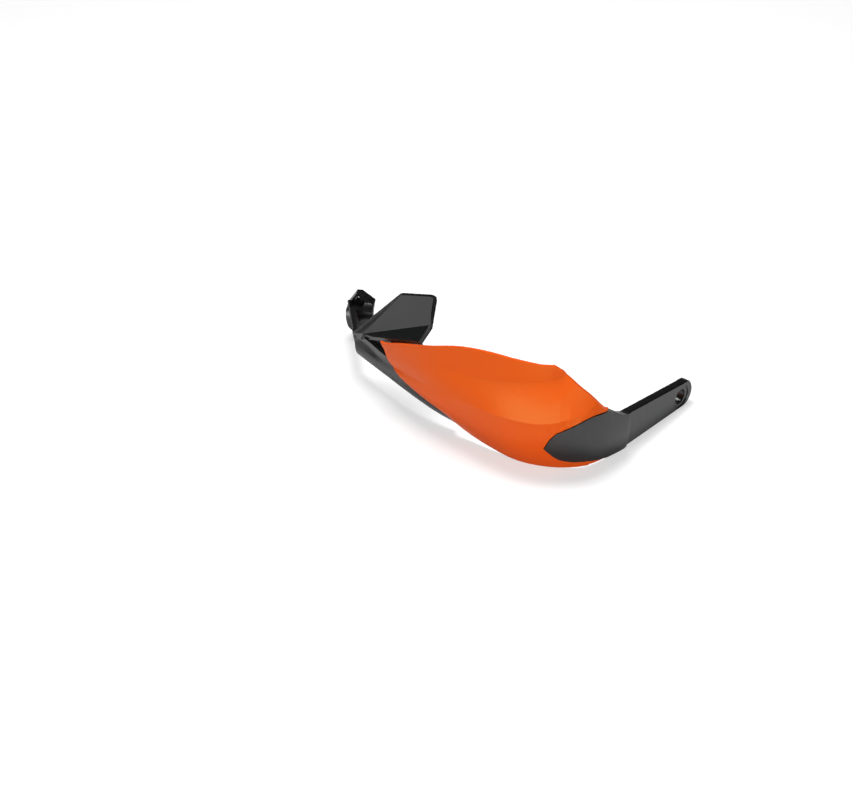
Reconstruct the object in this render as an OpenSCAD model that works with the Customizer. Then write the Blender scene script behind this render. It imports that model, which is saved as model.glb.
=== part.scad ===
// Motorcycle hand guard for the rider's left hand: a black moulded carrier that clamps to the
// handlebar and bolts to its end, and an orange shell screwed to the carrier from behind.
// X runs along the bar from the clamp outwards, Y points back to the rider and Z points up.
// The origin is the middle of the clamp's saddle.

/* [Bar clamp] */
// Diameter of the handlebar in the saddle
bar_d = 28.6; // [22:0.1:30]
// Width of the clamp along the bar
clamp_w = 29; // [24:0.5:34]
// Wall of the clamp round the saddle
saddle_wall = 8; // [6:0.5:10]
// Gap left between the saddle's face and the bar's middle for the other clamp half
split_gap = 0.8; // [0.4:0.1:1.5]
// Distance between the two ear bolts
bolt_pitch = 40; // [39:0.5:44]
// Diameter of the ear bolt holes
bolt_hole_d = 6.6; // [5.5:0.1:8.4]
// Diameter of the flanged nut's pocket in front of each ear
nut_pocket_d = 15; // [12:0.5:16]
// Thickness of the ears along the bolts
ear_t = 13; // [11:0.5:16]

/* [Clamp arm] */
// Height of the bar from the clamp to the elbow
clamp_arm_h = 21; // [18:0.2:24]
// Thickness of that bar
clamp_arm_t = 7; // [6:0.25:9]
// Height of its lower face above the bar's middle
clamp_arm_low = -1.5; // [-3:0.1:0]
// Chamfer on its long edges
edge_chamfer = 1.4; // [0.8:0.1:2]

/* [Bow] */
// Length of the bow from the elbow to the start of the end arm
bow_reach = 280; // [266:1:300]
// Depth of the bow from the elbow to the foremost crease
bow_depth = 152; // [140:1:164]
// Height of the shell from its lowest edge to the top of its rim
shell_height = 122.8; // [112:0.2:132]
// Height of the shell's lowest edge
shell_low = -25.5; // [-27:0.1:-24]
// Distance of the elbow's outer corner in front of the bar
elbow_y = -79; // [-84:0.5:-74]

/* [Shell] */
// Wall of the shell
shell_wall = 3; // [2.4:0.1:3.6]
// Gap between the shell and the carrier behind it
fit_gap = 0.3; // [0.2:0.05:0.5]
// Gap round the end arm where it stands in the shell's notch
notch_gap = 0.5; // [0.3:0.1:0.8]

/* [Carrier] */
// Thickness of the spine behind the shell
spine_t = 5; // [4:0.25:6]
// Height of the spine's upper edge behind the shell
spine_top = 30; // [27:0.5:32]
// How far the end arm stands proud of the shell
arm_proud = 1; // [0.5:0.1:1.6]
// Thickness of the wing
wing_t = 3.2; // [2.6:0.1:4]
// Width of the bevelled border of the wing
wing_border = 2.6; // [1.6:0.1:3.4]
// Depth of that bevel
wing_bevel = 1.1; // [0.6:0.1:1.6]

/* [Bar end] */
// Distance of the eye beyond the bow's end along X
eye_beyond = 52.5; // [46:0.5:60]
// Distance of the eye in front of the clamp
eye_y = -96; // [-102:0.5:-90]
// Height of the eye
eye_z = -10.3; // [-11:0.1:-8]
// Diameter of the eye's bore for the bar end bush
eye_bore_d = 16.5; // [12:0.1:18]
// Radius of the arm's round end
eye_r = 15.3; // [14:0.1:16.5]
// How far the round end's middle lies beyond the eye
end_beyond = 5.5; // [3:0.1:7]
// Heading of the end arm, turned from X towards Y
arm_heading = 58; // [54:0.5:62]
// Length of the flat end arm from the eye to the bend
arm_len = 92; // [86:1:98]
// Depth of the long pocket on the arm's inner face
pocket_depth = 3.2; // [2:0.1:4]
// Diameter of the washer seat on the outer face
seat_d = 26; // [22:0.5:28]
// Depth of the washer seat
seat_depth = 0.8; // [0.4:0.1:1.2]

/* [Shell screws] */
// Diameter of the screw's shank
screw_d = 3.6; // [3:0.1:4]
// Diameter of the screw's head
screw_head_d = 7.6; // [6.6:0.1:8.4]
// Height of the screw's head
screw_head_h = 2.6; // [2:0.1:3.2]
// Diameter of the boss inside the shell that the screw bites
boss_d = 7.6; // [7:0.1:8.4]
// Length of that boss from the shell's inner face
boss_len = 6.5; // [5:0.25:7.5]
// Floor of the carrier's cup under the screw's head
cup_floor = 3.2; // [2.4:0.1:4]
// Radial clearance round the boss and the shank
screw_gap = 0.2; // [0.1:0.05:0.3]

/* [Hidden] */
$fn = 48;
// Small overlap that makes two shapes one solid
bite = 0.6;
far = 400;
// Stations along the bow and steps across each band of the shell
bow_steps = 3;
band_steps = [5, 4, 2];

elbow_x = 5;
saddle_r = bar_d / 2;
arm_t = arm_proud + shell_wall + fit_gap + spine_t;
// The flat arm sits a hair inside the bow's two faces where they meet
plate_t = arm_t - 0.1;
arm_dir = [cos(arm_heading), sin(arm_heading)];
arm_out = [sin(arm_heading), -cos(arm_heading)];
eye = [elbow_x + bow_reach + eye_beyond, eye_y];
eye_face = eye + arm_out * arm_t / 2;
arm_root = eye_face - arm_dir * arm_len;

// Rows of the bow: share of the reach, then share of the depth and share of the height for the
// lower edge, the lower crease, the upper crease and the rim
bow_rows = [
    [-0.040, [-0.055, 0.192], [-0.050, 0.330], [-0.040, 0.500], [-0.030, 0.560]],
    [0.000, [0.008, 0.189], [0.012, 0.330], [0.040, 0.500], [0.070, 0.560]],
    [0.061, [0.115, 0.181], [0.135, 0.340], [0.165, 0.510], [0.180, 0.580]],
    [0.125, [0.222, 0.172], [0.280, 0.350], [0.310, 0.530], [0.325, 0.594]],
    [0.211, [0.365, 0.155], [0.450, 0.420], [0.478, 0.610], [0.468, 0.711]],
    [0.321, [0.530, 0.131], [0.645, 0.480], [0.648, 0.695], [0.630, 0.843]],
    [0.429, [0.638, 0.089], [0.785, 0.500], [0.755, 0.721], [0.740, 0.950]],
    [0.536, [0.754, 0.042], [0.915, 0.515], [0.839, 0.755], [0.832, 1.000]],
    [0.643, [0.847, 0.003], [1.003, 0.522], [0.895, 0.800], [0.882, 0.987]],
    [0.750, [0.892, 0.000], [1.029, 0.530], [0.905, 0.824], [0.885, 0.953]],
    [0.857, [0.895, 0.020], [0.983, 0.553], [0.875, 0.860], [0.862, 0.950]],
    [0.939, [0.827, 0.030], [0.862, 0.557], [0.825, 0.870], [0.815, 0.950]]
];
// Height shares of the last rows, which lie on the flat end arm
arm_row_heights = [0.020, 0.557, 0.870, 0.950];

function unit(v) = v / norm(v);
function left_of(v) = [-v.y, v.x];
function lerp(a, b, t) = a + (b - a) * t;
function height_at(share) = shell_low + share * shell_height;

// A row of the table as four points
function bow_row(row) = [
    for (k = [1:4])
        [elbow_x + row[0] * bow_reach, elbow_y - row[k][0] * bow_depth, height_at(row[k][1])]
];
// A row that stands on the line of the end arm, set back by what the arm stands proud
function arm_row(s) = let (p = arm_root - arm_out * arm_proud + arm_dir * s)
    [for (h = arm_row_heights) [p.x, p.y, height_at(h)]];
arm_rows = [for (s = [-10, -1, 8, 17]) arm_row(s)];
rows = concat([for (row = bow_rows) bow_row(row)], arm_rows);
// Row at which the flat end arm takes over from the bow
arm_start = len(bow_rows) + 1;

// Smooth curve through the rows
function through(a, b, c, d, t) =
    0.5 * ((2 * b) + (c - a) * t + (2 * a - 5 * b + 4 * c - d) * t * t
           + (3 * b - a - 3 * c + d) * t * t * t);
function guide(k, s) = let (
        last = len(rows) - 1,
        i = max(0, min(floor(s), last - 1)),
        a = rows[max(i - 1, 0)][k],
        d = rows[min(i + 2, last)][k])
    through(a, rows[i][k], rows[i + 1][k], d, s - i);
function plan_normal(k, s) =
    let (g = guide(k, s + 0.05) - guide(k, s - 0.05), n = left_of(unit([g.x, g.y])))
    [-n.x, -n.y, 0];

// How far each band bellies out between its edges, the lowest first
band_belly = [4.2, 1.2, 0.4];
function band_point(k, s, t) =
    lerp(guide(k, s), guide(k + 1, s), t) + plan_normal(1, s) * band_belly[k] * 4 * t * (1 - t);
function section(s) = concat(
    [for (k = [0:2], j = [0:band_steps[k] - 1]) band_point(k, s, j / band_steps[k])],
    [guide(3, s)]);
function section_normal(s) = let (a = section(s - 0.05), b = section(s + 0.05))
    [for (j = [0:len(a) - 1])
        let (g = b[j] - a[j], n = left_of(unit([g.x, g.y]))) [-n.x, -n.y, 0]];
// Place on the outer surface at a given row and height of the lower band
function skin_point(s, t) = band_point(0, s, t);
function skin_axis(s, t) = unit(cross(
    skin_point(s + 0.05, t) - skin_point(s - 0.05, t),
    skin_point(s, t + 0.05) - skin_point(s, t - 0.05)));

// Curved wall between two depths behind the outer surface, from row s0 to row s1
module bow_wall(depth_out, depth_in, s0, s1) {
    count = round((s1 - s0) * bow_steps);
    across = band_steps[0] + band_steps[1] + band_steps[2];
    stations = [for (i = [0:count]) s0 + (s1 - s0) * i / count];
    normals = [for (s = stations) section_normal(s)];
    skins = [for (s = stations) section(s)];
    outer = [for (i = [0:count], j = [0:across]) skins[i][j] - normals[i][j] * depth_out];
    inner = [for (i = [0:count], j = [0:across]) skins[i][j] - normals[i][j] * depth_in];
    function o(i, j) = i * (across + 1) + j;
    function n(i, j) = len(outer) + o(i, j);
    polyhedron(concat(outer, inner), concat(
        [for (i = [0:count - 1], j = [0:across - 1]) [o(i, j), o(i, j + 1), o(i + 1, j + 1)]],
        [for (i = [0:count - 1], j = [0:across - 1]) [o(i, j), o(i + 1, j + 1), o(i + 1, j)]],
        [for (i = [0:count - 1], j = [0:across - 1]) [n(i, j), n(i + 1, j + 1), n(i, j + 1)]],
        [for (i = [0:count - 1], j = [0:across - 1]) [n(i, j), n(i + 1, j), n(i + 1, j + 1)]],
        [for (i = [0:count - 1]) each [
            [o(i, across), n(i, across), n(i + 1, across)],
            [o(i, across), n(i + 1, across), o(i + 1, across)],
            [o(i, 0), o(i + 1, 0), n(i + 1, 0)],
            [o(i, 0), n(i + 1, 0), n(i, 0)]]],
        [for (j = [0:across - 1]) each [
            [n(0, j), n(0, j + 1), o(0, j + 1)],
            [n(0, j), o(0, j + 1), o(0, j)],
            [o(count, j), o(count, j + 1), n(count, j + 1)],
            [o(count, j), n(count, j + 1), n(count, j)]]]));
}

// Prism seen from the front: an outline in X and Z, cut right through along Y
module front_prism(outline) {
    rotate([90, 0, 0])
        translate([0, 0, -far / 2])
            linear_extrude(far + 2 * bow_depth) polygon(outline);
}

function bow_x(share) = elbow_x + share * bow_reach;

// Corners of the shell seen from the front
shell_tip = [bow_x(0.124), height_at(0.594)];
shell_heel = [bow_x(0.204), height_at(0.316)];
rim_peak = [bow_x(0.768), height_at(1.05)];
rim_horn = [bow_x(0.768), height_at(0.953)];
rim_knee = [bow_x(0.816), height_at(0.835)];
rim_end = [bow_x(0.957), height_at(0.562)];
shell_end = bow_x(0.985);
shell_outline = [
    [shell_tip.x, height_at(1.1)], shell_tip, [bow_x(0.140), height_at(0.533)],
    [bow_x(0.155), height_at(0.458)], [bow_x(0.181), height_at(0.371)], shell_heel,
    [bow_x(0.226), height_at(0.283)], [bow_x(0.260), height_at(0.248)],
    [bow_x(0.338), height_at(0.175)], [bow_x(0.388), height_at(0.121)],
    [bow_x(0.430), height_at(0.060)], [bow_x(0.50), height_at(-0.05)],
    [bow_x(0.86), height_at(-0.05)], [bow_x(0.905), height_at(0.033)],
    [bow_x(0.940), height_at(0.048)], [shell_end, height_at(0.075)],
    [shell_end, rim_end[1]], rim_end, rim_knee, rim_horn, rim_peak,
    [rim_peak.x, height_at(1.1)]
];

// Outline of the end arm's pad on the shell, seen from the front
pad_tip = [bow_x(0.751), height_at(0.208)];
function pad_outline(grow) = [
    [pad_tip.x - 1.6 * grow, pad_tip[1]],
    [bow_x(0.800) - grow, height_at(0.125) - grow],
    [bow_x(0.845), height_at(0.098) - grow],
    [bow_x(0.900), height_at(0.086) - grow],
    [bow_x(0.950), height_at(0.062) - grow],
    [bow_x(0.968), height_at(0.054) - grow],
    [bow_x(1.020), height_at(0.044) - grow],
    [bow_x(1.080), height_at(0.020) - grow],
    [bow_x(1.080), height_at(1)],
    [rim_end.x - grow, height_at(1)],
    [rim_end.x - grow, rim_end[1] + grow],
    [bow_x(0.794) - 0.4 * grow, height_at(0.368) + grow],
    [bow_x(0.772) - grow, height_at(0.296) + grow]
];

// Lower corner of the elbow in plan, the lean of its corner, and the strip's top there
elbow_low = [7.8, -78.2];
corner_heading = -30;
lean = -0.217;
strip_top = 24.3;

// Outline of the spine, seen from the front: strip, then the bar behind the shell
spine_outline = [
    [elbow_low[0] + 0.4, clamp_arm_low], [elbow_x + 12, height_at(0)],
    [bow_x(0.392), height_at(0)],
    [bow_x(0.435), height_at(0.200)],
    [bow_x(0.90), height_at(0.200)],
    [bow_x(0.90), spine_top],
    [bow_x(0.14), spine_top],
    [bow_x(0.034), strip_top + 3.2],
    [elbow_low[0] + 0.4 + lean * (strip_top - clamp_arm_low), strip_top]
];

// Screw places: row along the bow and share of the lower band's height
screw_places = [[4.6, 0.62], [5.7, 0.62], [6.8, 0.62], [7.9, 0.62], [9.0, 0.62]];
cup_r = boss_d / 2 + screw_gap + 2.6;
boss_end = shell_wall + boss_len;
cup_end = boss_end + fit_gap + cup_floor;

// Children stand on the outer surface at a screw's place, Z pointing out of the guard
module at_screw(place) {
    p = skin_point(place[0], place[1]);
    n = skin_axis(place[0], place[1]);
    translate(p) rotate([0, acos(n.z), atan2(n.y, n.x)]) children();
}

// Closed outline moved inwards by d, for a counter-clockwise outline
function inset(pts, d) = let (c = len(pts)) [
    for (i = [0:c - 1])
        let (a = pts[(i + c - 1) % c], b = pts[i], e = pts[(i + 1) % c],
             n1 = left_of(unit(b - a)), n2 = left_of(unit(e - b)))
        b + d * (n1 + n2) / (1 + n1 * n2)
];

// Plate of height h with chamfered rims
module chamfered_plate(outline, h, rim) {
    c = len(outline);
    narrow = inset(outline, rim);
    function level(pts, z) = [for (p = pts) [p.x, p.y, z]];
    polyhedron(
        concat(level(narrow, 0), level(outline, rim), level(outline, h - rim), level(narrow, h)),
        concat([for (i = [1:c - 2]) [0, i, i + 1]], [for (i = [1:c - 2]) [3 * c, 3 * c + i + 1, 3 * c + i]],
               [for (r = [0:2], i = [0:c - 1])
                   [r * c + i, (r + 1) * c + i, (r + 1) * c + (i + 1) % c,
                    r * c + (i + 1) % c]]));
}

// Clamp end: half saddle with an ear above and an ear below
bolt_x = -2.7;
nut_pocket_h = 3;
ear_end = bolt_pitch / 2 + 5.6;
ear_outline = [
    [-clamp_w / 2, -8], [-9.5, -ear_end + 3], [-6.5, -ear_end], [1, -ear_end],
    [clamp_w / 2, -16], [clamp_w / 2, 16], [1, ear_end + 1], [-4.5, ear_end + 1],
    [-clamp_w / 2, 11.5]
];
module clamp_end() {
    intersection() {
        rotate([90, 0, 0]) linear_extrude(2 * bar_d) polygon(ear_outline);
        union() {
            rotate([0, 90, 0]) cylinder(h = clamp_w, r = saddle_r + saddle_wall, center = true);
            translate([-clamp_w / 2, -ear_t, -bar_d]) cube([clamp_w, ear_t, 2 * bar_d]);
        }
        translate([-clamp_w, -2 * bar_d - split_gap, -2 * bar_d])
            cube([2 * clamp_w, 2 * bar_d, 4 * bar_d]);
    }
}

// Bar from the clamp to the elbow. It leans with the elbow's corner
elbow_angle = 104.6;
arm_run = 70;
// Section of that bar: first the distance towards the bike's middle, then the height
function arm_section(w) = let (c = edge_chamfer, h = clamp_arm_h, tilt = -lean * sin(elbow_angle)) [
    [tilt * c, c], [-c, 0], [c - w, 0], [tilt * c - w, c],
    [tilt * (h - c) - w, h - c], [tilt * h - w + c, h], [tilt * h - c, h], [tilt * (h - c), h - c]
];
// Bar of width w about the elbow, kept to a depth behind the corner's front face. That face
// follows the corner's leaning edge
module elbow_bar(w, depth) {
    front_normal = unit(cross([cos(corner_heading), sin(corner_heading), 0], [lean, 0, 1]));
    translate([elbow_low.x, elbow_low.y, clamp_arm_low]) intersection() {
        rotate([90, 0, elbow_angle + 90]) translate([0, 0, -2 * clamp_arm_t])
            linear_extrude(arm_run + 2 * clamp_arm_t) polygon(arm_section(w));
        rotate([0, asin(-front_normal.z), atan2(front_normal.y, front_normal.x)])
            translate([-depth, -far / 2, -far / 2]) cube([depth, far, far]);
    }
}
module clamp_arm() {
    elbow_bar(clamp_arm_t, far);
    elbow_bar(1.7 * clamp_arm_t, spine_t - 2);
}
// Fillet between the top of that bar and the wing's base
elbow_fillet = 7;
module elbow_web() {
    inboard = -lean * clamp_arm_h - edge_chamfer - 0.2;
    translate([elbow_low.x, elbow_low.y, clamp_arm_low + clamp_arm_h])
        rotate([90, 0, elbow_angle]) translate([0, 0, -inboard])
            linear_extrude(clamp_arm_t - 2 * edge_chamfer - 0.4) polygon(concat(
                [[-1, -1], [elbow_fillet, -1]],
                [for (a = [0:15:90]) elbow_fillet * [1 - sin(a), 1 - cos(a)]],
                [[-1, elbow_fillet]]));
}

// Side view of the end arm: first the distance from the eye, then the height. The first four
// corners lie clear of the arm
arm_meets_rim = 127;
arm_side = [
    [-60, shell_low - 20], [260, shell_low - 20], [260, 60], [140, 60],
    [arm_meets_rim, rim_end[1]], [119, 37.4], [112, 31], [105, 25.8], [98, 22.6], [arm_len, 21.1], [-60, 12]
];
module arm_prism(outline) {
    translate([eye.x, eye.y, 0])
        rotate([90, 0, arm_heading + 180]) linear_extrude(2 * far, center = true) polygon(outline);
}
arm_top_end = 20.6 - eye_z;
arm_low_end = -20.2 - eye_z;
flat_outline = concat(
    [[arm_len + 6, arm_low_end], [arm_len + 6, arm_top_end]],
    [for (a = [-6:12:174]) [-end_beyond - eye_r * sin(a), eye_r * cos(a)]]);
// Pocket in the arm's inner face, which lightens it and leaves a rim all round
rim_w = 4.6;
pocket_near = 23;
pocket_far = arm_len - 2;
pocket_outline = [
    [pocket_near, -13.2 + rim_w], [pocket_near + 2, -14.6 + rim_w],
    [pocket_far, arm_low_end + rim_w], [pocket_far, arm_top_end - rim_w],
    [pocket_near + 2, 19.6 - rim_w], [pocket_near, 18.2 - rim_w]
];
module end_arm() {
    translate([eye.x, eye.y, eye_z])
        rotate([90, 0, arm_heading + 180])
            translate([0, 0, -plate_t / 2])
                chamfered_plate(flat_outline, plate_t, edge_chamfer);
}

// Wing: corners of its front face. The crease runs from the root to the crease corner
wing_base = [2.6, -78.9, 23.5];
wing_foot = [14.4, -95.4, 27.7];
wing_root = [16.9, -98.1, 35.9];
wing_low_root = [30, -113, 43];
wing_low_end = [85.4, -164, 75.6];
wing_crease_end = [92.1, -140.6, 79];
wing_top_b = [94, -116, 101.2];
wing_top_a = [54.4, -87.9, 82.5];

// Rounded corner at p between its neighbours a and b
function bend(a, p, b, size) = let (u = p + unit(a - p) * size, v = p + unit(b - p) * size)
    [for (t = [0:0.25:1]) lerp(lerp(u, p, t), lerp(p, v, t), t)];
function bisector(p, a, b) = unit(unit(a - p) + unit(b - p));
function inward(p, a, b, d) =
    let (m = bisector(p, a, b)) p + m * d / norm(cross(unit(a - p), m));
upper_normal = -unit(cross(wing_top_a - wing_root, wing_crease_end - wing_root));
lower_normal = -unit(cross(wing_crease_end - wing_root, wing_low_end - wing_root));
fold_normal = (upper_normal + lower_normal) / (1 + upper_normal * lower_normal);

wing_edge = concat(
    [wing_root, wing_foot, wing_base],
    bend(wing_base, wing_top_a, wing_top_b, 3),
    bend(wing_top_a, wing_top_b, wing_crease_end, 7),
    [wing_crease_end, wing_low_end, wing_low_root]);
wing_count = len(wing_edge);
wing_face = let (c = wing_count) [
    for (i = [0:c - 1])
        i < 3 || i == c - 1 ? wing_edge[i]
        : i == c - 2 ? wing_edge[i] + unit(wing_edge[c - 1] - wing_edge[i]) * wing_border
        : inward(wing_edge[i], wing_edge[i - 1], wing_edge[i + 1], wing_border)
];
module wing() {
    c = wing_count;
    normals = [
        for (i = [0:c - 1])
            i == 0 || i == c - 3 ? fold_normal : i > c - 3 ? lower_normal : upper_normal
    ];
    rim = [for (i = [0:c - 1]) wing_edge[i] - normals[i] * wing_bevel];
    back = [for (i = [0:c - 1]) wing_edge[i] - normals[i] * wing_t];
    // Each facet is a fan of triangles about the wing's root
    polyhedron(concat(wing_face, rim, back), concat(
        [for (i = [1:c - 2]) [0, i, i + 1]],
        [for (i = [1:c - 2]) [2 * c, 2 * c + i + 1, 2 * c + i]],
        [for (r = [0, 1], i = [0:c - 1]) each [
            [r * c + i, (r + 1) * c + i, (r + 1) * c + (i + 1) % c],
            [r * c + i, (r + 1) * c + (i + 1) % c, r * c + (i + 1) % c]]]));
}

// Web under the wing: from its lower edge down to the back of the strip
web_top = [for (p = [lerp(wing_root, wing_low_root, 0.06), lerp(wing_low_root, wing_low_end, 0.5)])
    p - lower_normal * wing_t / 2];
web_foot = [[11.5, -87, 25], [47, -106, 26]];
module wing_web() {
    back = [0.4, 2.6, -1];
    pts = [web_foot[0], web_foot[1], web_top[1], web_top[0]];
    polyhedron(concat(pts, [for (p = pts) p + back]), [
        [0, 2, 1], [0, 3, 2], [4, 5, 6], [4, 6, 7],
        [0, 1, 5], [0, 5, 4], [1, 2, 6], [1, 6, 5],
        [2, 3, 7], [2, 7, 6], [3, 0, 4], [3, 4, 7]]);
}

module carrier() {
    color("#2c2d2e") difference() {
        union() {
            clamp_end();
            clamp_arm();
            elbow_web();
            wing();
            wing_web();
            intersection() {
                bow_wall(shell_wall + fit_gap, shell_wall + fit_gap + spine_t, 0, arm_start);
                union() {
                    front_prism(spine_outline);
                    front_prism(pad_outline(0));
                }
                arm_prism(arm_side);
            }
            intersection() {
                bow_wall(-arm_proud, shell_wall + fit_gap + bite, 8.6, arm_start);
                front_prism(pad_outline(0));
                arm_prism(arm_side);
            }
            end_arm();
            for (place = screw_places)
                at_screw(place)
                    translate([0, 0, -cup_end]) cylinder(h = cup_end - boss_end + bite + 4, r = cup_r);
        }
        rotate([0, 90, 0]) cylinder(h = 2 * clamp_w, r = saddle_r, center = true);
        for (side = [-1, 1]) translate([bolt_x, 0, side * bolt_pitch / 2]) rotate([90, 0, 0]) {
            translate([0, 0, -bite]) cylinder(h = ear_t + 2 * bite, d = bolt_hole_d);
            translate([0, 0, ear_t - nut_pocket_h]) cylinder(h = 14, d = nut_pocket_d);
        }
        translate([eye.x, eye.y, eye_z]) rotate([90, 0, arm_heading]) {
            translate([0, 0, -arm_t]) cylinder(h = 2 * arm_t, d = eye_bore_d);
            translate([0, 0, arm_t / 2 - seat_depth]) cylinder(h = arm_t, d = seat_d);
        }
        translate([eye.x, eye.y, eye_z]) rotate([90, 0, arm_heading + 180])
            translate([0, 0, plate_t / 2 - pocket_depth])
                linear_extrude(pocket_depth + 1) polygon(pocket_outline);
        for (place = screw_places) at_screw(place) {
            translate([0, 0, -boss_end - fit_gap])
                cylinder(h = boss_end + fit_gap, d = boss_d + 2 * screw_gap);
            translate([0, 0, -cup_end - 1])
                cylinder(h = cup_end, d = screw_d + 2 * screw_gap);
            translate([0, 0, -cup_end - far / 20]) cylinder(h = far / 20, r = cup_r + bite);
        }
    }
}

module shell() {
    color("#e8590c") difference() {
        union() {
            intersection() {
                bow_wall(0, shell_wall, 2.8, 11.8);
                front_prism(shell_outline);
            }
            for (place = screw_places)
                at_screw(place)
                    translate([0, 0, -boss_end]) cylinder(h = boss_len + bite, d = boss_d);
        }
        front_prism(pad_outline(notch_gap));
        for (place = screw_places)
            at_screw(place)
                translate([0, 0, -boss_end - 1])
                    cylinder(h = boss_len + 1.6, d = screw_d + screw_gap / 2);
    }
}

module shell_screw(number) {
    shank = cup_end - shell_wall - 1;
    color("#1d1d1f") at_screw(screw_places[number - 1]) {
        translate([0, 0, -cup_end]) cylinder(h = shank, d = screw_d);
        translate([0, 0, -cup_end - screw_head_h]) cylinder(h = screw_head_h, d = screw_head_d);
    }
}

carrier();
shell();
shell_screw(1);  // shell_screw_1
shell_screw(2);  // shell_screw_2
shell_screw(3);  // shell_screw_3
shell_screw(4);  // shell_screw_4
shell_screw(5);  // shell_screw_5
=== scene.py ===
"""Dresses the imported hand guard: moulded finishes, rounded edges, screws, floor, lamps, camera."""

import logging
import math
from dataclasses import dataclass, field
from enum import Enum
from typing import Any

import bmesh
import bpy
import numpy as np
from mathutils import Matrix, Vector


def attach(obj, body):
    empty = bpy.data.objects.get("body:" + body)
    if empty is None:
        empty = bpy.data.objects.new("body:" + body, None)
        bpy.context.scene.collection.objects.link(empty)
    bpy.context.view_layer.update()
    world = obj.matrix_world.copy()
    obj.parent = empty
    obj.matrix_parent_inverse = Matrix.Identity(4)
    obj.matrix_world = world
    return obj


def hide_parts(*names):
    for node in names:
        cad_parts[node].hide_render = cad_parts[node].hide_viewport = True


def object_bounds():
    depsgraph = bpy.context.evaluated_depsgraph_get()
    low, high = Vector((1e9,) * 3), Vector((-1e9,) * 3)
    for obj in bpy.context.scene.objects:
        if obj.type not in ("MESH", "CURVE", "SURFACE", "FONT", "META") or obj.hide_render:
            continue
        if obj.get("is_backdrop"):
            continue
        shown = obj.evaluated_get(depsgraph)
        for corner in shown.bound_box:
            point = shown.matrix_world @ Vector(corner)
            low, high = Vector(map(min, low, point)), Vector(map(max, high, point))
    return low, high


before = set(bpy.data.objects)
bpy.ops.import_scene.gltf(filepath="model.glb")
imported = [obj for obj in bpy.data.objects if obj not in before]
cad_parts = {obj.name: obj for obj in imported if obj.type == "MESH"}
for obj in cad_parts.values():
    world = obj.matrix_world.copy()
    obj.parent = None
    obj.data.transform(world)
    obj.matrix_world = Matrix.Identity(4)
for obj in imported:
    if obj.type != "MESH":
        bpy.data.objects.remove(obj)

LOG = logging.getLogger("hand_guard")
MM = 0.001
ROOT = "root"
SCREWS = [f"shell_screw_{number}" for number in range(1, 6)]

# Points closer than this are one, and faces flatter than this many degrees are joined
WELD = 0.02 * MM
FLAT_SEAM = 0.4
# Depth in front of a screw's tip over which the surface becomes free to move
FRONT_DEPTH = 3.0 * MM
# Least agreement of a screw's end face with the screw's rough axis
END_FACE = 0.98

WHITE = (1.0, 1.0, 1.0, 1.0)

Triple = tuple[float, float, float]


class Ray(Enum):
    """Kinds of ray that Light Path tells apart."""

    CAMERA = "Is Camera Ray"
    GLOSSY = "Is Glossy Ray"
    TRANSMISSION = "Is Transmission Ray"


class Value:
    """A shader socket with the arithmetic that the finishes use."""

    def __init__(self, tree: "ShaderTree", socket: Any) -> None:
        """Keep the tree and the socket that this value reads."""
        self.tree = tree
        self.socket = socket

    def _math(self, operation: str, a: Any, b: Any) -> "Value":
        """Add one Math node.

        Args:
            operation: Name of the Math operation.
            a: First number or value.
            b: Second number or value.

        Returns:
            The node's result.
        """
        return self.tree.value("ShaderNodeMath", {"operation": operation}, {0: a, 1: b})

    def __add__(self, other: Any) -> "Value":
        """Sum with a number or a value."""
        return self._math("ADD", self, other)

    def __radd__(self, other: Any) -> "Value":
        """Sum with a number on the left."""
        return self._math("ADD", other, self)

    def __sub__(self, other: Any) -> "Value":
        """Difference from this value."""
        return self._math("SUBTRACT", self, other)

    def __rsub__(self, other: Any) -> "Value":
        """Difference from a number on the left."""
        return self._math("SUBTRACT", other, self)

    def __mul__(self, other: Any) -> "Value":
        """Product with a number or a value."""
        return self._math("MULTIPLY", self, other)

    def __rmul__(self, other: Any) -> "Value":
        """Product with a number on the left."""
        return self._math("MULTIPLY", other, self)


class NodeTree:
    """Node tree that is filled one node at a time."""

    def __init__(self, tree: Any) -> None:
        """Keep Blender's own tree."""
        self.tree = tree

    def node(self, kind: str, settings: dict[str, Any], sockets: dict[Any, Any]) -> Any:
        """Add a node, set it up and feed its sockets.

        Args:
            kind: Node type.
            settings: Properties of the node, set first.
            sockets: Numbers, colours, Values or outputs by socket name or index.

        Returns:
            The new node.
        """
        made = self.tree.nodes.new(kind)
        for name, setting in settings.items():
            setattr(made, name, setting)
        for key, value in sockets.items():
            source = value.socket if isinstance(value, Value) else value
            if isinstance(source, bpy.types.NodeSocket):
                self.tree.links.new(source, made.inputs[key])
            else:
                made.inputs[key].default_value = source
        return made


class ShaderTree(NodeTree):
    """Node tree of one material or of the world."""

    def __init__(self, owner: Any) -> None:
        """Empty the owner's tree.

        Args:
            owner: Material or world whose tree is built.
        """
        owner.use_nodes = True
        super().__init__(owner.node_tree)
        self.tree.nodes.clear()

    def value(self, kind: str, settings: dict[str, Any], sockets: dict[Any, Any],
              output: Any = 0) -> Value:
        """Add a node and wrap one of its outputs as a Value."""
        return Value(self, self.node(kind, settings, sockets).outputs[output])

    def ray(self, kind: Ray) -> Value:
        """One where the ray is of this kind, else zero."""
        return self.value("ShaderNodeLightPath", {}, {}, kind.value)


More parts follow.
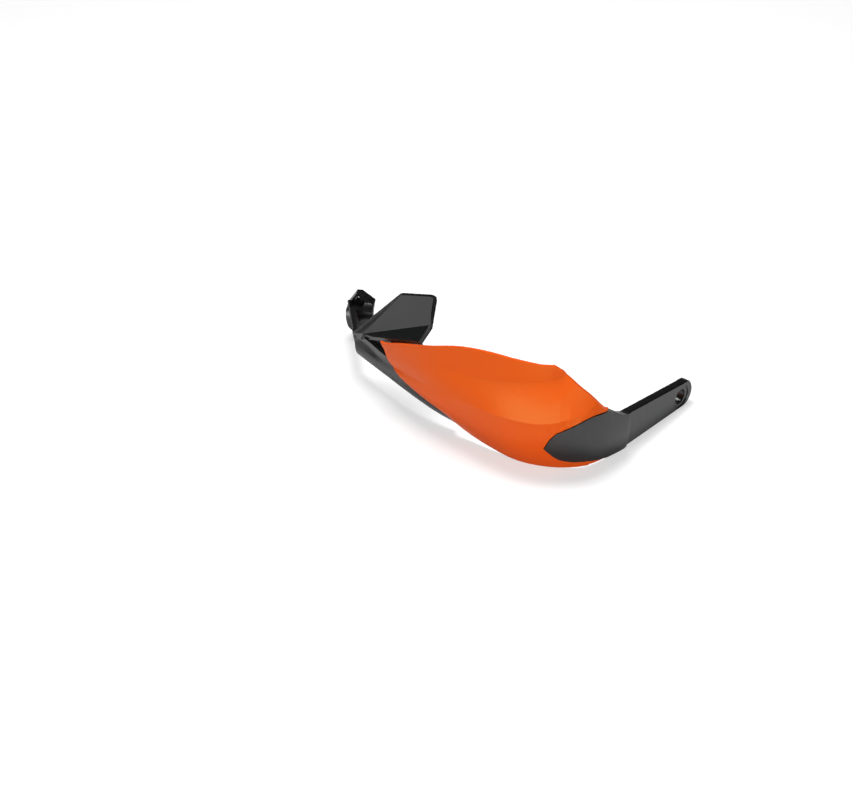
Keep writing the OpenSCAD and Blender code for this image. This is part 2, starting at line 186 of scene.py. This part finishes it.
class GeometryTree(NodeTree):
    """Geometry node group with named inputs."""

    def __init__(self, name: str, inputs: dict[str, str]) -> None:
        """Make the group.

        Args:
            name: Name of the group.
            inputs: Socket type by input name, besides the geometry.
        """
        super().__init__(bpy.data.node_groups.new(name, "GeometryNodeTree"))
        face = self.tree.interface
        face.new_socket(name="Geometry", in_out="OUTPUT", socket_type="NodeSocketGeometry")
        face.new_socket(name="Geometry", in_out="INPUT", socket_type="NodeSocketGeometry")
        self.keys = {key: face.new_socket(name=key, in_out="INPUT", socket_type=kind).identifier
                     for key, kind in inputs.items()}
        self.start = self.tree.nodes.new("NodeGroupInput").outputs


@dataclass(frozen=True)
class MouldedPlastic:
    """Injection-moulded plastic with a fine grain.

    Attributes:
        name: Name of the material.
        colour: Linear base colour.
        tone: Second linear colour that wide soft patches lean to.
        roughness: Mean roughness.
        grain: Scale of the grain, per metre.
        relief: Height of the grain in metres.
        gloss: Specular level of the shader.
        tint: Colour of the gloss.
        index: Index of refraction.
        patches: Scale of the soft patches, per metre.
        lean: How far a full patch leans to the second colour.
        spread: Span of the roughness over the patches.
    """

    name: str
    colour: Triple
    tone: Triple
    roughness: float
    grain: float
    relief: float
    gloss: float = 0.5
    tint: Triple = (1.0, 1.0, 1.0)
    index: float = 1.5
    patches: float = 9.0
    lean: float = 0.6
    spread: float = 0.08

    def make(self) -> bpy.types.Material:
        """Build the material.

        Returns:
            A material that reads Object coordinates only.
        """
        material = bpy.data.materials.new(self.name)
        tree = ShaderTree(material)
        place = tree.value("ShaderNodeTexCoord", {}, {}, "Object")
        patch = tree.value("ShaderNodeTexNoise", {}, {
            "Vector": place, "Scale": self.patches, "Detail": 2.0, "Roughness": 0.5})
        grain = tree.value("ShaderNodeTexNoise", {}, {
            "Vector": place, "Scale": self.grain, "Detail": 3.0, "Roughness": 0.55})
        colour = tree.node("ShaderNodeMix", {"data_type": "RGBA"}, {
            "Factor": patch * self.lean, "A": (*self.colour, 1.0), "B": (*self.tone, 1.0)})
        bump = tree.node("ShaderNodeBump", {}, {
            "Strength": 1.0, "Distance": self.relief, "Height": grain})
        shader = tree.node("ShaderNodeBsdfPrincipled", {}, {
            "Base Color": colour.outputs["Result"],
            "Roughness": patch * self.spread + (self.roughness - self.spread / 2),
            "Normal": bump.outputs["Normal"],
            "Specular IOR Level": self.gloss,
            "IOR": self.index,
            "Specular Tint": (*self.tint, 1.0)})
        tree.node("ShaderNodeOutputMaterial", {}, {"Surface": shader.outputs["BSDF"]})
        return material


@dataclass(frozen=True)
class BlackedSteel:
    """Black-coated screw steel.

    Attributes:
        name: Name of the material.
        colour: Linear base colour.
        metallic: Share of metal under the coating.
        roughness: Mean roughness.
        wear: Scale of the worn spots, per metre.
        spread: Span of the roughness over the worn spots.
    """

    name: str = "blacked_steel"
    colour: Triple = (0.035, 0.035, 0.038)
    metallic: float = 0.85
    roughness: float = 0.38
    wear: float = 420.0
    spread: float = 0.14

    def make(self) -> bpy.types.Material:
        """Build the material."""
        material = bpy.data.materials.new(self.name)
        tree = ShaderTree(material)
        place = tree.value("ShaderNodeTexCoord", {}, {}, "Object")
        wear = tree.value("ShaderNodeTexNoise", {}, {
            "Vector": place, "Scale": self.wear, "Detail": 2.0})
        shader = tree.node("ShaderNodeBsdfPrincipled", {}, {
            "Base Color": (*self.colour, 1.0), "Metallic": self.metallic,
            "Roughness": wear * self.spread + (self.roughness - self.spread / 2)})
        tree.node("ShaderNodeOutputMaterial", {}, {"Surface": shader.outputs["BSDF"]})
        return material


CARRIER_BLACK = MouldedPlastic(
    name="carrier_black", colour=(0.0032, 0.0034, 0.0037), tone=(0.0045, 0.0047, 0.0050),
    roughness=0.27, grain=1500.0, relief=0.00001, gloss=0.82, index=1.6)
SHELL_ORANGE = MouldedPlastic(
    name="shell_orange", colour=(0.75, 0.080, 0.0012), tone=(0.72, 0.076, 0.0012),
    roughness=0.36, grain=1900.0, relief=0.000005, gloss=0.45, tint=(0.6, 1.0, 0.36))


def linked(name: str, data: Any) -> bpy.types.Object:
    """Make an object at the origin and link it to the scene."""
    made = bpy.data.objects.new(name, data)
    bpy.context.scene.collection.objects.link(made)
    return made


@dataclass(frozen=True)
class Nudge:
    """Smooth move of the surface about a line seen from the front.

    Attributes:
        centre: Middle of the line, X and Z in mm.
        slope: Rise of the line for each mm along X.
        reach: Length along the line, and width across it, over which the move fades, in mm.
        move: The move in mm.
    """

    centre: tuple[float, float]
    slope: float
    reach: tuple[float, float]
    move: Triple

    def at(self, point: Vector) -> Vector:
        """Work out the move of one point.

        Args:
            point: A point of the mesh in metres.

        Returns:
            Its move in metres.
        """
        x, z = point.x / MM - self.centre[0], point.z / MM - self.centre[1]
        size = math.hypot(1.0, self.slope)
        along, across = (x + self.slope * z) / size, (z - self.slope * x) / size
        share = math.exp(-(along / self.reach[0]) ** 4 - (across / self.reach[1]) ** 2)
        return Vector(self.move) * (share * MM)


# The shell's rim beyond the horn stands higher and further back
RIM = Nudge(centre=(245.2, 66.8), slope=-0.87, reach=(24.0, 14.0), move=(0.0, 6.3, 4.2))
# The edge that falls from the horn's tip
HORN = Nudge(centre=(225.5, 85.8), slope=-0.87, reach=(8.5, 9.0), move=(1.2, 1.2, 1.6))
# The corner where the rim meets the end pad
PAD_CORNER = Nudge(centre=(272.0, 44.5), slope=-0.87, reach=(8.0, 8.0), move=(1.6, -0.6, -3.4))
# The upper edge of the end pad and the notch in the shell that it fills
PAD_EDGE = Nudge(centre=(233.5, 20.0), slope=0.6, reach=(36.0, 13.0), move=(0.0, -1.6, 8.8))
# The shell's lower edge leaves more of the strip in sight
LOWER_EDGE = Nudge(centre=(84.0, 1.5), slope=-0.45, reach=(44.0, 10.0), move=(0.0, -1.3, 8.0))
# The clamp's inner side draws in below the bar
CLAMP_SIDE = Nudge(centre=(-15.5, -16.0), slope=0.0, reach=(7.0, 15.0), move=(3.5, 0.0, 0.0))


@dataclass(frozen=True)
class ScrewSeat:
    """Axis of one shell screw.

    Attributes:
        head: Middle of the head's outer face in metres.
        tip: Middle of the shank's end in metres.
        way: Unit vector from the head to the tip.
    """

    head: Vector
    tip: Vector
    way: Vector

    @classmethod
    def of(cls, node: str) -> "ScrewSeat":
        """Read the axis off the CAD screw.

        Args:
            node: Name of the CAD node.

        Returns:
            The seat, its way squared to the screw's flat ends.
        """
        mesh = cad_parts[node].data
        points = np.array([v.co[:] for v in mesh.vertices])
        _, _, axes = np.linalg.svd(points - points.mean(axis=0), full_matrices=False)
        rough = Vector(axes[0]) * (1 if axes[0][1] < 0 else -1)
        way = Vector()
        for face in mesh.polygons:
            along = face.normal.dot(rough)
            if abs(along) > END_FACE:
                way += face.normal * math.copysign(face.area, along)
        way.normalize()
        side = way.orthogonal().normalized()
        basis = np.array([side, way.cross(side), way])
        spans = points @ basis.T
        low, high = spans.min(axis=0), spans.max(axis=0)
        middle = (low + high) / 2
        head = Vector((middle[0], middle[1], low[2])) @ Matrix(basis.tolist())
        return cls(head, head + way * float(high[2] - low[2]), way)

    def freedom(self, point: Vector, clear: float) -> float:
        """Share of a move that a point may take.

        Args:
            point: A point of the mesh in metres.
            clear: Radius round the axis that stays, in metres.

        Returns:
            One away from the axis, zero along the screw, and a rise between in front of its tip.
        """
        away = point - self.tip
        if away.cross(self.way).length > clear:
            return 1.0
        return min(max(away.dot(self.way) / FRONT_DEPTH, 0.0), 1.0)


SEATS = [ScrewSeat.of(node) for node in SCREWS]


def nudge(work: bmesh.types.BMesh, nudges: list[Nudge], clear: float) -> None:
    """Move a mesh's points, but nothing close to a screw.

    Args:
        work: The mesh to change.
        nudges: The moves, added up.
        clear: Radius round a screw's axis that stays, in metres.
    """
    for vertex in work.verts:
        share = min(seat.freedom(vertex.co, clear) for seat in SEATS)
        vertex.co += sum((n.at(vertex.co) for n in nudges), Vector()) * share


def merged_copy(node: str, name: str, nudges: list[Nudge], clear: float) -> bpy.types.Object:
    """Copy a CAD node's mesh, join its loose triangles, nudge it and clear flat seams.

    Args:
        node: Name of the CAD node.
        name: Name of the new piece.
        nudges: Moves of its surface.
        clear: Radius round a screw's axis that stays, in metres.

    Returns:
        The new object, at the origin.
    """
    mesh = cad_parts[node].data.copy()
    mesh.name = name
    mesh.materials.clear()
    work = bmesh.new()
    work.from_mesh(mesh)
    bmesh.ops.remove_doubles(work, verts=work.verts, dist=WELD)
    nudge(work, nudges, clear)
    bmesh.ops.dissolve_limit(work, angle_limit=math.radians(FLAT_SEAM), verts=work.verts,
                             edges=work.edges)
    work.to_mesh(mesh)
    work.free()
    return linked(name, mesh)


def round_edges(piece: bpy.types.Object, width: float, angle: float) -> None:
    """Round the sharp edges of a piece and shade its curves smoothly.

    Args:
        piece: The piece to finish.
        width: Width of the rounding in metres.
        angle: Edges sharper than this many degrees are rounded.
    """
    bevel = piece.modifiers.new("rounding", "BEVEL")
    bevel.width = width
    bevel.segments = 2
    bevel.limit_method = "ANGLE"
    bevel.angle_limit = math.radians(angle)
    bevel.harden_normals = False
    bevel.use_clamp_overlap = True
    piece.data.polygons.foreach_set("use_smooth", [True] * len(piece.data.polygons))
    normals = piece.modifiers.new("normals", "WEIGHTED_NORMAL")
    normals.keep_sharp = False
    normals.weight = 60


@dataclass(frozen=True)
class Rib:
    """Thin flat rib that is moulded on, a prism over a flat outline.

    Attributes:
        outline: Corners of one face in mm.
        through: Way and thickness to the other face in mm.
    """

    outline: tuple[Triple, ...]
    through: Triple

    def add_to(self, mesh: bpy.types.Mesh) -> None:
        """Add the rib to a mesh.

        Args:
            mesh: The mesh that it becomes part of.
        """
        work = bmesh.new()
        work.from_mesh(mesh)
        before = len(work.faces)
        near = [work.verts.new(Vector(c) * MM) for c in self.outline]
        far = [work.verts.new((Vector(c) + Vector(self.through)) * MM) for c in self.outline]
        work.faces.new(near)
        work.faces.new(far[::-1])
        for i, corner in enumerate(near):
            j = (i + 1) % len(near)
            work.faces.new((near[j], corner, far[i], far[j]))
        work.faces.ensure_lookup_table()
        bmesh.ops.recalc_face_normals(work, faces=work.faces[before:])
        work.to_mesh(mesh)
        work.free()


# Web from the wing's lower edge back to the strip
WEB = Rib(outline=((19.0, -92.0, 24.5), (50.0, -117.5, 24.5), (49.0, -128.0, 49.0),
                   (28.5, -110.5, 40.0)), through=(1.0, 1.4, 0.6))
# Lip under the wing's lower edge, down behind the shell
WING_LIP = Rib(outline=((47.0, -126.5, 50.5), (84.6, -162.6, 73.4), (86.6, -158.6, 67.4),
                        (49.5, -122.5, 44.5)), through=(0.9, 1.2, 0.6))
# Floor of the corner between the strip and the web
ELBOW_FLOOR = Rib(outline=((20.0, -93.0, 25.4), (33.0, -98.5, 25.4), (62.0, -112.0, 25.4),
                           (62.0, -135.0, 25.4), (47.0, -121.5, 25.4), (33.0, -107.5, 25.4)),
                  through=(0.0, 0.0, -2.2))


@dataclass
class Carrier:
    """The black moulding from the clamp to the bar end.

    Attributes:
        rounding: Width of the rounded edges in metres.
        angle: Edges sharper than this many degrees are rounded.
        cup_clear: Radius round a screw's axis that keeps its shape, in metres.
        ribs: Ribs moulded on.
    """

    rounding: float = 0.4 * MM
    angle: float = 11.5
    cup_clear: float = 7.5 * MM
    ribs: tuple[Rib, ...] = (WEB, WING_LIP, ELBOW_FLOOR)

    def build(self) -> bpy.types.Object:
        """Make the dressed carrier and hide the CAD node behind it."""
        piece = merged_copy("carrier", "carrier_moulding",
                            [PAD_EDGE, PAD_CORNER, CLAMP_SIDE], self.cup_clear)
        for rib in self.ribs:
            rib.add_to(piece.data)
        piece.data.materials.append(CARRIER_BLACK.make())
        round_edges(piece, self.rounding, self.angle)
        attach(piece, ROOT)
        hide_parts("carrier")
        LOG.info("carrier: %d faces", len(piece.data.polygons))
        return piece


@dataclass
class Shell:
    """The orange deflector.

    Attributes:
        rounding: Width of the rounded edges in metres.
        angle: Edges sharper than this many degrees are rounded.
        boss_clear: Radius round a screw's axis that keeps its shape, in metres.
    """

    rounding: float = 0.7 * MM
    angle: float = 10.6
    boss_clear: float = 4.2 * MM

    def build(self) -> bpy.types.Object:
        """Make the dressed shell and hide the CAD node behind it."""
        piece = merged_copy("shell", "deflector_shell",
                            [RIM, HORN, PAD_CORNER, PAD_EDGE, LOWER_EDGE], self.boss_clear)
        piece.data.materials.append(SHELL_ORANGE.make())
        round_edges(piece, self.rounding, self.angle)
        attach(piece, ROOT)
        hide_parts("shell")
        LOG.info("shell: %d faces", len(piece.data.polygons))
        return piece


@dataclass
class ShellScrews:
    """The five self-tapping screws that hold the shell from behind. All lengths are in metres.

    Attributes:
        head_radius: Radius of the head.
        head_height: Height of the head.
        edge: Rounding of the head's outer edge.
        socket: Distance of the recess's flats from the axis.
        depth: Depth of the recess.
        mouth: Depth of the flare at the recess's mouth.
        flare: Width of that flare, as a multiple of the recess.
        shank_radius: Radius of the shank over its thread.
        groove: Depth of the thread's grooves.
        pitch: Pitch of the thread.
        crest: Half the width of the thread's crest.
        root: Start and end of the groove's floor, measured from the crest.
        point: Length of the taper at the tip.
        sides: Corners of each ring.
        sharp: Edges sharper than this many degrees are shaded sharp.
    """

    head_radius: float = 3.8 * MM
    head_height: float = 2.6 * MM
    edge: float = 0.5 * MM
    socket: float = 1.5 * MM
    depth: float = 1.4 * MM
    mouth: float = 0.15 * MM
    flare: float = 1.12
    shank_radius: float = 1.8 * MM
    groove: float = 0.35 * MM
    pitch: float = 1.2 * MM
    crest: float = 0.15 * MM
    root: tuple[float, float] = (0.3 * MM, 0.6 * MM)
    point: float = 0.7 * MM
    sides: int = 36
    sharp: float = 35.0

    def rings(self, length: float) -> list[tuple[float, float, bool]]:
        """Rings of the screw's surface, from the recess's floor round to the tip.

        Args:
            length: Length of the whole screw in metres.

        Returns:
            Rings as radius, height and whether the ring is six-sided.
        """
        flat = self.head_radius - self.edge
        core = self.shank_radius - self.groove
        rings = [(self.socket, self.depth, True), (self.socket, self.mouth, True),
                 (self.socket * self.flare, 0.0, True), (flat, 0.0, False),
                 (flat + 0.7 * self.edge, 0.24 * self.edge, False),
                 (self.head_radius, self.edge, False),
                 (self.head_radius, self.head_height, False),
                 (self.shank_radius, self.head_height, False)]
        height = self.head_height + self.pitch
        while height + self.pitch < length:
            rings += [(self.shank_radius, height - self.crest, False),
                      (core, height + self.root[0], False),
                      (core, height + self.root[1], False)]
            height += self.pitch
        return rings + [(self.shank_radius, length - self.point, False), (core, length, False)]

    def ring(self, radius: float, height: float, six: bool) -> list[Triple]:
        """Corners of one ring.

        Args:
            radius: Its radius, or the distance of its flats where it is six-sided.
            height: Its height over the head's face.
            six: Whether it is six-sided.

        Returns:
            The corners in order round the axis.
        """
        corners = []
        for i in range(self.sides):
            angle = 2 * math.pi * i / self.sides
            bend = math.cos(angle % (math.pi / 3) - math.pi / 6) if six else 1.0
            corners.append((radius / bend * math.cos(angle), radius / bend * math.sin(angle),
                            height))
        return corners

    def screw(self) -> bpy.types.Object:
        """Turn the screw once, its head's face at the origin and its tip along +Z."""
        work = bmesh.new()
        length = (SEATS[0].tip - SEATS[0].head).length
        turns = [[work.verts.new(corner) for corner in self.ring(*ring)]
                 for ring in self.rings(length)]
        for one, two in zip(turns, turns[1:]):
            for i in range(self.sides):
                j = (i + 1) % self.sides
                work.faces.new((one[i], one[j], two[j], two[i]))
        work.faces.new(turns[0])
        work.faces.new(turns[-1][::-1])
        bmesh.ops.recalc_face_normals(work, faces=work.faces)
        mesh = bpy.data.meshes.new("screw")
        work.to_mesh(mesh)
        work.free()
        return linked("screw", mesh)

    def tree(self) -> GeometryTree:
        """Node group that sets one screw on each seat."""
        tree = GeometryTree("screw_row", {"Screw": "NodeSocketObject",
                                          "Finish": "NodeSocketMaterial"})
        way = tree.node("GeometryNodeInputNamedAttribute", {"data_type": "FLOAT_VECTOR"},
                        {"Name": "way"})
        turn = tree.node("FunctionNodeAlignRotationToVector", {"axis": "Z"},
                         {"Vector": way.outputs["Attribute"]})
        screw = tree.node("GeometryNodeObjectInfo", {}, {"Object": tree.start["Screw"]})
        row = tree.node("GeometryNodeInstanceOnPoints", {}, {
            "Points": tree.start["Geometry"], "Instance": screw.outputs["Geometry"],
            "Rotation": turn.outputs["Rotation"]})
        real = tree.node("GeometryNodeRealizeInstances", {}, {"Geometry": row.outputs[0]})
        done = tree.node("GeometryNodeSetMaterial", {}, {
            "Geometry": real.outputs[0], "Material": tree.start["Finish"]})
        tree.node("NodeGroupOutput", {}, {"Geometry": done.outputs[0]})
        return tree

    def build(self) -> bpy.types.Object:
        """Set the screws and hide the CAD nodes behind them."""
        mesh = bpy.data.meshes.new("screw_seats")
        mesh.from_pydata([seat.head for seat in SEATS], [], [])
        ways = mesh.attributes.new("way", "FLOAT_VECTOR", "POINT")
        ways.data.foreach_set("vector", [c for seat in SEATS for c in seat.way])
        seats = linked("screw_seats", mesh)
        screw, tree = self.screw(), self.tree()
        row = seats.modifiers.new("row", "NODES")
        row.node_group = tree.tree
        row[tree.keys["Screw"]] = screw
        row[tree.keys["Finish"]] = BlackedSteel().make()
        graph = bpy.context.evaluated_depsgraph_get()
        plain = bpy.data.meshes.new_from_object(seats.evaluated_get(graph))
        plain.name = "shell_screws"
        seats.modifiers.remove(row)
        piece = linked("shell_screws", plain)
        for spare in (seats, screw):
            bpy.data.objects.remove(spare)
        plain.set_sharp_from_angle(angle=math.radians(self.sharp))
        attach(piece, ROOT)
        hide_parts(*SCREWS)
        LOG.info("screws: %d faces", len(plain.polygons))
        return piece


@dataclass(frozen=True)
class Lamp:
    """One soft area lamp.

    Attributes:
        name: Name of the lamp.
        place: Where it hangs, in metres.
        size: Its two sides in metres.
        power: Its power in watts.
    """

    name: str
    place: Triple
    size: tuple[float, float]
    power: float

    def hang(self, aim: Vector) -> None:
        """Hang the lamp, turned to a point."""
        data = bpy.data.lights.new(self.name, "AREA")
        data.shape = "RECTANGLE"
        data.size, data.size_y = self.size
        data.energy = self.power
        lamp = linked(self.name, data)
        lamp.location = Vector(self.place)
        lamp.rotation_mode = "QUATERNION"
        lamp.rotation_quaternion = (aim - lamp.location).to_track_quat("-Z", "Y")


@dataclass
class Studio:
    """Floor, world, lamps and camera.

    Attributes:
        aim: Point on the camera's axis at the height of the bar, in metres.
        distance: Distance of the camera from that point.
        azimuth: Turn of the camera round the object, in degrees from -Y.
        elevation: Height of the camera above the horizon, in degrees.
        lens: Focal length for a 36 mm sensor.
        clip: Nearest and furthest distance that the camera sees, in metres.
        floor_size: Side of the floor in metres.
        paper: Linear grey of the floor.
        glow: Strength of the floor for the camera, added to its lit grey.
        mirrored: Share of that glow in reflections.
        ambient: Strength of the world as light.
        dim: Strength of the studio's upper part in reflections.
        horizon: Heights between which reflections fade from white to the upper part.
        lamps: The soft lamps.
    """

    aim: Triple = (0.0901, -0.1578, 0.0)
    distance: float = 2.391
    azimuth: float = 8.0
    elevation: float = 35.0
    lens: float = 101.1
    clip: tuple[float, float] = (0.05, 60.0)
    floor_size: float = 12.0
    paper: float = 0.5
    glow: float = 0.54
    mirrored: float = 0.06
    ambient: float = 0.2
    dim: float = 0.015
    horizon: tuple[float, float] = (-0.1, 0.02)
    lamps: list[Lamp] = field(default_factory=lambda: [
        Lamp("overhead", (0.05, 0.1, 1.6), (0.8, 0.6), 29.0),
        Lamp("front", (0.2, -2.25, 0.36), (4.8, 0.8), 49.0),
        Lamp("left", (-1.44, 0.27, 0.49), (0.75, 0.6), 1.1),
    ])

    def floor(self) -> None:
        """Lay the pale floor under the object."""
        low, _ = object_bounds()
        half = self.floor_size / 2
        mesh = bpy.data.meshes.new("floor")
        corners = [(-half, -half), (half, -half), (half, half), (-half, half)]
        mesh.from_pydata([(x, y, low.z) for x, y in corners], [], [(0, 1, 2, 3)])
        floor = linked("floor", mesh)
        material = bpy.data.materials.new("floor_paper")
        tree = ShaderTree(material)
        seen = (tree.ray(Ray.CAMERA) + tree.ray(Ray.TRANSMISSION)
                + tree.ray(Ray.GLOSSY) * self.mirrored)
        paper = tree.node("ShaderNodeBsdfDiffuse", {}, {"Color": (*[self.paper] * 3, 1.0)})
        glow = tree.node("ShaderNodeEmission", {}, {
            "Color": WHITE, "Strength": seen * self.glow})
        both = tree.node("ShaderNodeAddShader", {}, {
            0: paper.outputs[0], 1: glow.outputs[0]})
        tree.node("ShaderNodeOutputMaterial", {}, {"Surface": both.outputs[0]})
        mesh.materials.append(material)
        floor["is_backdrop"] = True

    def world(self) -> None:
        """White behind the object. A glossy ray sees it near the horizon, and near black above."""
        world = bpy.data.worlds.new("studio")
        bpy.context.scene.world = world
        tree = ShaderTree(world)
        way = tree.node("ShaderNodeTexCoord", {}, {}).outputs["Generated"]
        height = tree.value("ShaderNodeSeparateXYZ", {}, {0: way}, "Z")
        low = tree.value("ShaderNodeMapRange", {"interpolation_type": "SMOOTHSTEP"}, {
            "Value": height, "From Min": self.horizon[0], "From Max": self.horizon[1],
            "To Min": 1.0, "To Max": 0.0})
        seen = tree.ray(Ray.CAMERA) + tree.ray(Ray.TRANSMISSION)
        glossy = tree.ray(Ray.GLOSSY)
        around = (1 - seen - glossy) * self.ambient
        strength = seen + glossy * (low * (1 - self.dim) + self.dim) + around
        back = tree.node("ShaderNodeBackground", {}, {"Color": WHITE, "Strength": strength})
        tree.node("ShaderNodeOutputWorld", {}, {"Surface": back.outputs[0]})

    def light(self) -> None:
        """Hang the lamps, each aimed at the middle of the object."""
        low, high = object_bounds()
        for lamp in self.lamps:
            lamp.hang((low + high) / 2)

    def camera(self) -> None:
        """Stand the camera where the photograph was taken from."""
        a, e = math.radians(self.azimuth), math.radians(self.elevation)
        back = Vector((math.sin(a) * math.cos(e), -math.cos(a) * math.cos(e), math.sin(e)))
        data = bpy.data.cameras.new("camera")
        data.sensor_width = 36.0
        data.sensor_fit = "HORIZONTAL"
        data.lens = self.lens
        data.clip_start, data.clip_end = self.clip
        camera = linked("camera", data)
        camera.location = Vector(self.aim) + back * self.distance
        camera.rotation_mode = "QUATERNION"
        camera.rotation_quaternion = (-back).to_track_quat("-Z", "Y")
        bpy.context.scene.camera = camera

    def build(self) -> None:
        """Set up the whole studio."""
        bpy.context.scene.view_settings.view_transform = "Standard"
        self.floor()
        self.world()
        self.light()
        self.camera()


def main() -> None:
    """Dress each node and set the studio."""
    logging.basicConfig(level=logging.INFO)
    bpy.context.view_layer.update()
    Carrier().build()
    Shell().build()
    ShellScrews().build()
    Studio().build()


if __name__ == "__main__":
    main()
